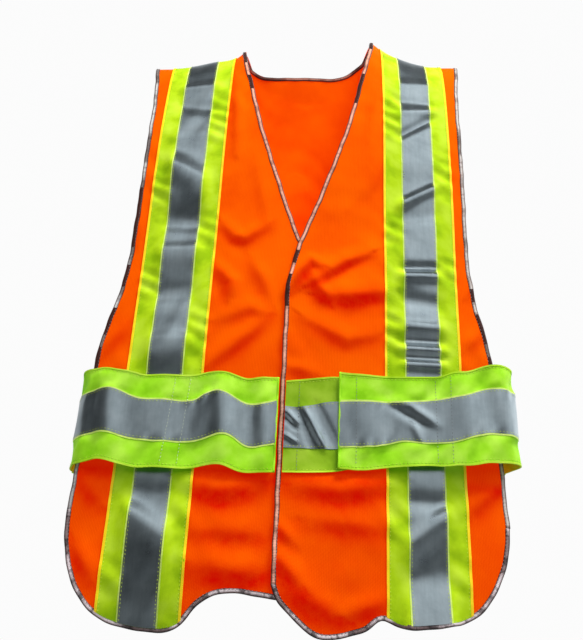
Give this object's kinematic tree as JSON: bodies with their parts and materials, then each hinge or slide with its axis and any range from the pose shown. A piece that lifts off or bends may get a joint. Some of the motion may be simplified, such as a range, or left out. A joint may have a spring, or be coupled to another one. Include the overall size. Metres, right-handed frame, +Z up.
{
  "type": "high visibility vest",
  "caption": "Open-sided V-neck safety vest in orange mesh with bordered reflective tape down the fronts and back, a waist belt and hook-and-loop fastening.",
  "frame": {"origin": "on the shoulder line, midway between the two neck points, where the vest rests on the shoulders", "axes": "+Z up along the vest, -Y out of the front, +X to the wearer's left (the viewer's right)"},
  "size_m": [0.4796, 0.1072, 0.8007],
  "materials": {
    "orange_mesh": "fluorescent orange polyester tricot, fine knit, slight sheen",
    "lime_tape": "fluorescent yellow-green woven tape with a brighter selvedge",
    "silver_tape": "silver glass-bead reflective tape, satin, softly creased",
    "binding": "grey satin bias binding, folded over the edge and stitched",
    "hook_tape": "nylon hook tape, stiff and matte",
    "loop_tape": "brushed nylon loop tape"
  },
  "bodies": {
    "back": {"back_hem_binding": "binding", "back_left_side_binding": "binding", "back_left_tape_lime": "lime_tape", "back_left_tape_silver": "silver_tape", "back_neck_binding": "binding", "back_panel": "orange_mesh", "back_right_side_binding": "binding", "back_right_tape_lime": "lime_tape", "back_right_tape_silver": "silver_tape", "back_waist_lime": "lime_tape", "back_waist_silver": "silver_tape", "left_shoulder_seam": "orange_mesh", "left_strap_lime": "lime_tape", "left_strap_silver": "silver_tape", "right_shoulder_seam": "orange_mesh", "right_strap_lime": "lime_tape", "right_strap_silver": "silver_tape"},
    "left_front": {"left_front_closure_hook": "hook_tape", "left_front_edge_binding": "binding", "left_front_hem_binding": "binding", "left_front_panel": "orange_mesh", "left_front_side_binding": "binding", "left_front_tape_lime": "lime_tape", "left_front_tape_silver": "silver_tape", "left_front_waist_lime": "lime_tape", "left_front_waist_loop": "loop_tape", "left_front_waist_silver": "silver_tape"},
    "right_front": {"right_front_closure_loop": "loop_tape", "right_front_edge_binding": "binding", "right_front_hem_binding": "binding", "right_front_panel": "orange_mesh", "right_front_side_binding": "binding", "right_front_tape_lime": "lime_tape", "right_front_tape_silver": "silver_tape", "right_front_waist_lime": "lime_tape", "right_front_waist_loop": "loop_tape", "right_front_waist_silver": "silver_tape"},
    "left_tab": {"left_tab_hook": "hook_tape", "left_tab_lime": "lime_tape", "left_tab_silver": "silver_tape"},
    "right_tab": {"right_tab_hook": "hook_tape", "right_tab_lime": "lime_tape", "right_tab_silver": "silver_tape"}
  },
  "joints": [
    {"name": "left_front_open", "type": "hinge", "parent": "back", "child": "left_front", "pos_m": [0.2403, 0, 0], "axis": [0, 0, 1], "range_deg": [0, 80]},
    {"name": "right_front_open", "type": "hinge", "parent": "back", "child": "right_front", "pos_m": [-0.2403, 0, 0], "axis": [0, 0, -1], "range_deg": [0, 64]},
    {"name": "left_tab_peel", "type": "hinge", "parent": "left_front", "child": "left_tab", "pos_m": [0.2403, 0, 0], "axis": [0, 0, 1], "range_deg": [0, 75]},
    {"name": "right_tab_peel", "type": "hinge", "parent": "right_front", "child": "right_tab", "pos_m": [-0.2403, 0, 0], "axis": [0, 0, -1], "range_deg": [0, 75]}
  ],
  "couplings": [
    {"joint": "right_front_open", "follows": "left_front_open", "ratio": 0.8}
  ]
}
